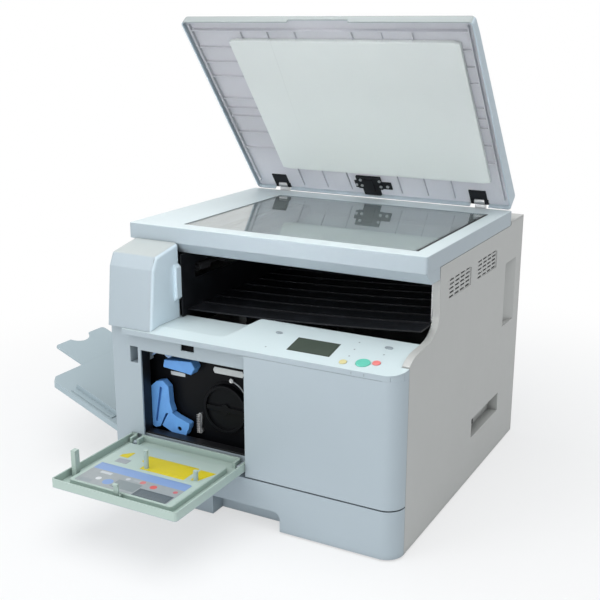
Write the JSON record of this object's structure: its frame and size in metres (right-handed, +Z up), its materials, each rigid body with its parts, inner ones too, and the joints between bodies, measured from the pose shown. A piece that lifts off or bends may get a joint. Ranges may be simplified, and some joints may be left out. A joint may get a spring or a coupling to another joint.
{
  "type": "multifunction printer",
  "caption": "Desktop multifunction printer with a hinged platen cover, front maintenance door, paper drawer, in-body delivery tray, sloping control panel and a folding side feed tray",
  "frame": {"origin": "on the floor, under the centre of the body's covers", "axes": "+Z up, the front with the control panel faces -Y, +X to the right seen from the front"},
  "size_m": [0.8088, 0.7812, 0.8109],
  "materials": {
    "front_plastic": "fine-grained bluish grey moulding",
    "side_plastic": "fine-grained warm grey moulding",
    "top_plastic": "fine-grained pale grey moulding",
    "liner_plastic": "smooth lilac grey moulding",
    "pad_white": "white film on foam",
    "black_plastic": "black moulding",
    "blue_plastic": "blue touch point",
    "frame_steel": "zinc-plated sheet",
    "rubber": "soft black rubber",
    "platen_glass": "clear polished glass",
    "display_window": "grey-green display window",
    "key_green": "green key",
    "key_red": "red key",
    "key_yellow": "amber key",
    "key_grey": "grey key"
  },
  "bodies": {
    "root": {"rubber_feet": "rubber", "base_pan": "frame_steel", "engine_deck": "frame_steel", "engine_frame": "frame_steel", "right_cover": "side_plastic", "left_cover": "side_plastic", "rear_cover": "side_plastic", "front_cover": "front_plastic", "opening_frame": "front_plastic", "panel_housing": "top_plastic", "display": "display_window", "status_lamps": "black_plastic", "column_cover": "front_plastic", "delivery_tray": "black_plastic", "delivery_walls": "black_plastic", "exit_guide": "black_plastic", "scanner_base": "front_plastic", "scanner_top": "top_plastic", "platen_glass": "platen_glass", "glass_gasket": "black_plastic", "scan_rail": "frame_steel", "scan_belt": "rubber", "hinge_bases": "frame_steel", "bay_plate": "black_plastic", "bay_grip_block": "blue_plastic", "bay_clips": "frame_steel", "cartridge_cradle": "frame_steel", "power_bezel": "black_plastic", "left_hinges": "frame_steel"},
    "lid": {"cover_shell": "top_plastic", "cover_liner": "liner_plastic", "platen_pad": "pad_white", "cover_bracket": "black_plastic", "cover_screws": "frame_steel", "hinge_leaves": "black_plastic"},
    "front_door": {"door_panel": "liner_plastic", "door_liner": "liner_plastic"},
    "drawer": {"drawer_front": "front_plastic", "drawer_tray": "liner_plastic"},
    "lifter": {"lift_plate": "frame_steel"},
    "front_guide": {"guide_front": "blue_plastic"},
    "rear_guide": {"guide_rear": "blue_plastic"},
    "tail_guide": {"guide_end": "blue_plastic"},
    "side_door": {"left_door": "side_plastic"},
    "feed_tray": {"mp_tray": "liner_plastic"},
    "feed_extension": {"mp_extension": "liner_plastic"},
    "feed_guide_a": {"mp_guide_front": "side_plastic"},
    "feed_guide_b": {"mp_guide_rear": "side_plastic"},
    "exit_shaft": {"exit_roller": "rubber"},
    "carriage": {"scan_carriage": "black_plastic"},
    "blue_lever": {"release_lever": "blue_plastic"},
    "small_lever": {"lock_lever": "blue_plastic"},
    "toner_bottle": {"toner_cartridge": "black_plastic"},
    "rocker": {"power_rocker": "black_plastic"},
    "start": {"start_key": "key_green"},
    "stop": {"stop_key": "key_red"},
    "reset": {"reset_key": "key_yellow"},
    "energy": {"energy_key": "key_grey"},
    "paper_key": {"left_key": "key_grey"}
  },
  "joints": [
    {"name": "lid_hinge", "type": "hinge", "parent": "root", "child": "lid", "pos_m": [0, 0.217, 0.48], "axis": [1, 0, 0], "range_deg": [0, 51.66]},
    {"name": "front_door_hinge", "type": "hinge", "parent": "root", "child": "front_door", "pos_m": [-0.118, -0.291, 0.0985], "axis": [-1, 0, 0], "range_deg": [0, 90]},
    {"name": "drawer_slide", "type": "slide", "parent": "root", "child": "drawer", "axis": [0, 1, 0], "range_m": [-0.38, 0]},
    {"name": "lifter_hinge", "type": "hinge", "parent": "drawer", "child": "lifter", "pos_m": [0.028, -0.0055, 0.01925], "axis": [0, 1, 0], "range_deg": [0, 8]},
    {"name": "front_guide_slide", "type": "slide", "parent": "drawer", "child": "front_guide", "axis": [0, 1, 0], "range_m": [0, 0.042]},
    {"name": "rear_guide_slide", "type": "slide", "parent": "drawer", "child": "rear_guide", "axis": [0, 1, 0], "range_m": [-0.042, 0]},
    {"name": "tail_guide_slide", "type": "slide", "parent": "drawer", "child": "tail_guide", "axis": [1, 0, 0], "range_m": [-0.15, 0]},
    {"name": "side_door_hinge", "type": "hinge", "parent": "root", "child": "side_door", "pos_m": [-0.276, 0.1895, 0.217], "axis": [0, 0, 1], "range_deg": [-80, 0]},
    {"name": "feed_tray_hinge", "type": "hinge", "parent": "side_door", "child": "feed_tray", "pos_m": [-0.275, -0.066, 0.075], "axis": [0, 1, 0], "range_deg": [0, 67.9]},
    {"name": "feed_extension_slide", "type": "slide", "parent": "feed_tray", "child": "feed_extension", "axis": [0.9265, 0, -0.3762], "range_m": [0, 0.074]},
    {"name": "feed_guide_a_slide", "type": "slide", "parent": "feed_tray", "child": "feed_guide_a", "axis": [0, 1, 0], "range_m": [0, 0.06]},
    {"name": "feed_guide_b_slide", "type": "slide", "parent": "feed_tray", "child": "feed_guide_b", "axis": [0, 1, 0], "range_m": [-0.06, 0]},
    {"name": "exit_spin", "type": "hinge", "parent": "root", "child": "exit_shaft", "pos_m": [-0.1865, -0.0045, 0.385], "axis": [0, 1, 0], "continuous": true},
    {"name": "carriage_slide", "type": "slide", "parent": "root", "child": "carriage", "axis": [1, 0, 0], "range_m": [0, 0.33]},
    {"name": "blue_lever_turn", "type": "hinge", "parent": "root", "child": "blue_lever", "pos_m": [-0.155, -0.2465, 0.123], "axis": [0, -1, 0], "range_deg": [-38, 0]},
    {"name": "small_lever_turn", "type": "hinge", "parent": "root", "child": "small_lever", "pos_m": [-0.174, -0.2485, 0.258], "axis": [0, 1, 0], "range_deg": [0, 22]},
    {"name": "toner_slide", "type": "slide", "parent": "root", "child": "toner_bottle", "axis": [0, 1, 0], "range_m": [-0.3, 0]},
    {"name": "rocker_turn", "type": "hinge", "parent": "root", "child": "rocker", "pos_m": [0.251, 0.0575, 0.1], "axis": [0, -1, 0], "range_deg": [0, 12]},
    {"name": "start_press", "type": "slide", "parent": "root", "child": "start", "axis": [0, 0.1961, -0.9806], "range_m": [0, 0.0008], "stiffness_N_per_m": 600, "springref_m": -0.0008},
    {"name": "stop_press", "type": "slide", "parent": "root", "child": "stop", "axis": [0, 0.1961, -0.9806], "range_m": [0, 0.0008], "stiffness_N_per_m": 600, "springref_m": -0.0008},
    {"name": "reset_press", "type": "slide", "parent": "root", "child": "reset", "axis": [0, 0.1961, -0.9806], "range_m": [0, 0.0008], "stiffness_N_per_m": 600, "springref_m": -0.0008},
    {"name": "energy_press", "type": "slide", "parent": "root", "child": "energy", "axis": [0, 0.1961, -0.9806], "range_m": [0, 0.0008], "stiffness_N_per_m": 600, "springref_m": -0.0008},
    {"name": "paper_key_press", "type": "slide", "parent": "root", "child": "paper_key", "axis": [0, 0.1961, -0.9806], "range_m": [0, 0.0008], "stiffness_N_per_m": 600, "springref_m": -0.0008}
  ],
  "couplings": [
    {"joint": "rear_guide_slide", "follows": "front_guide_slide", "ratio": -1},
    {"joint": "feed_guide_b_slide", "follows": "feed_guide_a_slide", "ratio": -1}
  ]
}
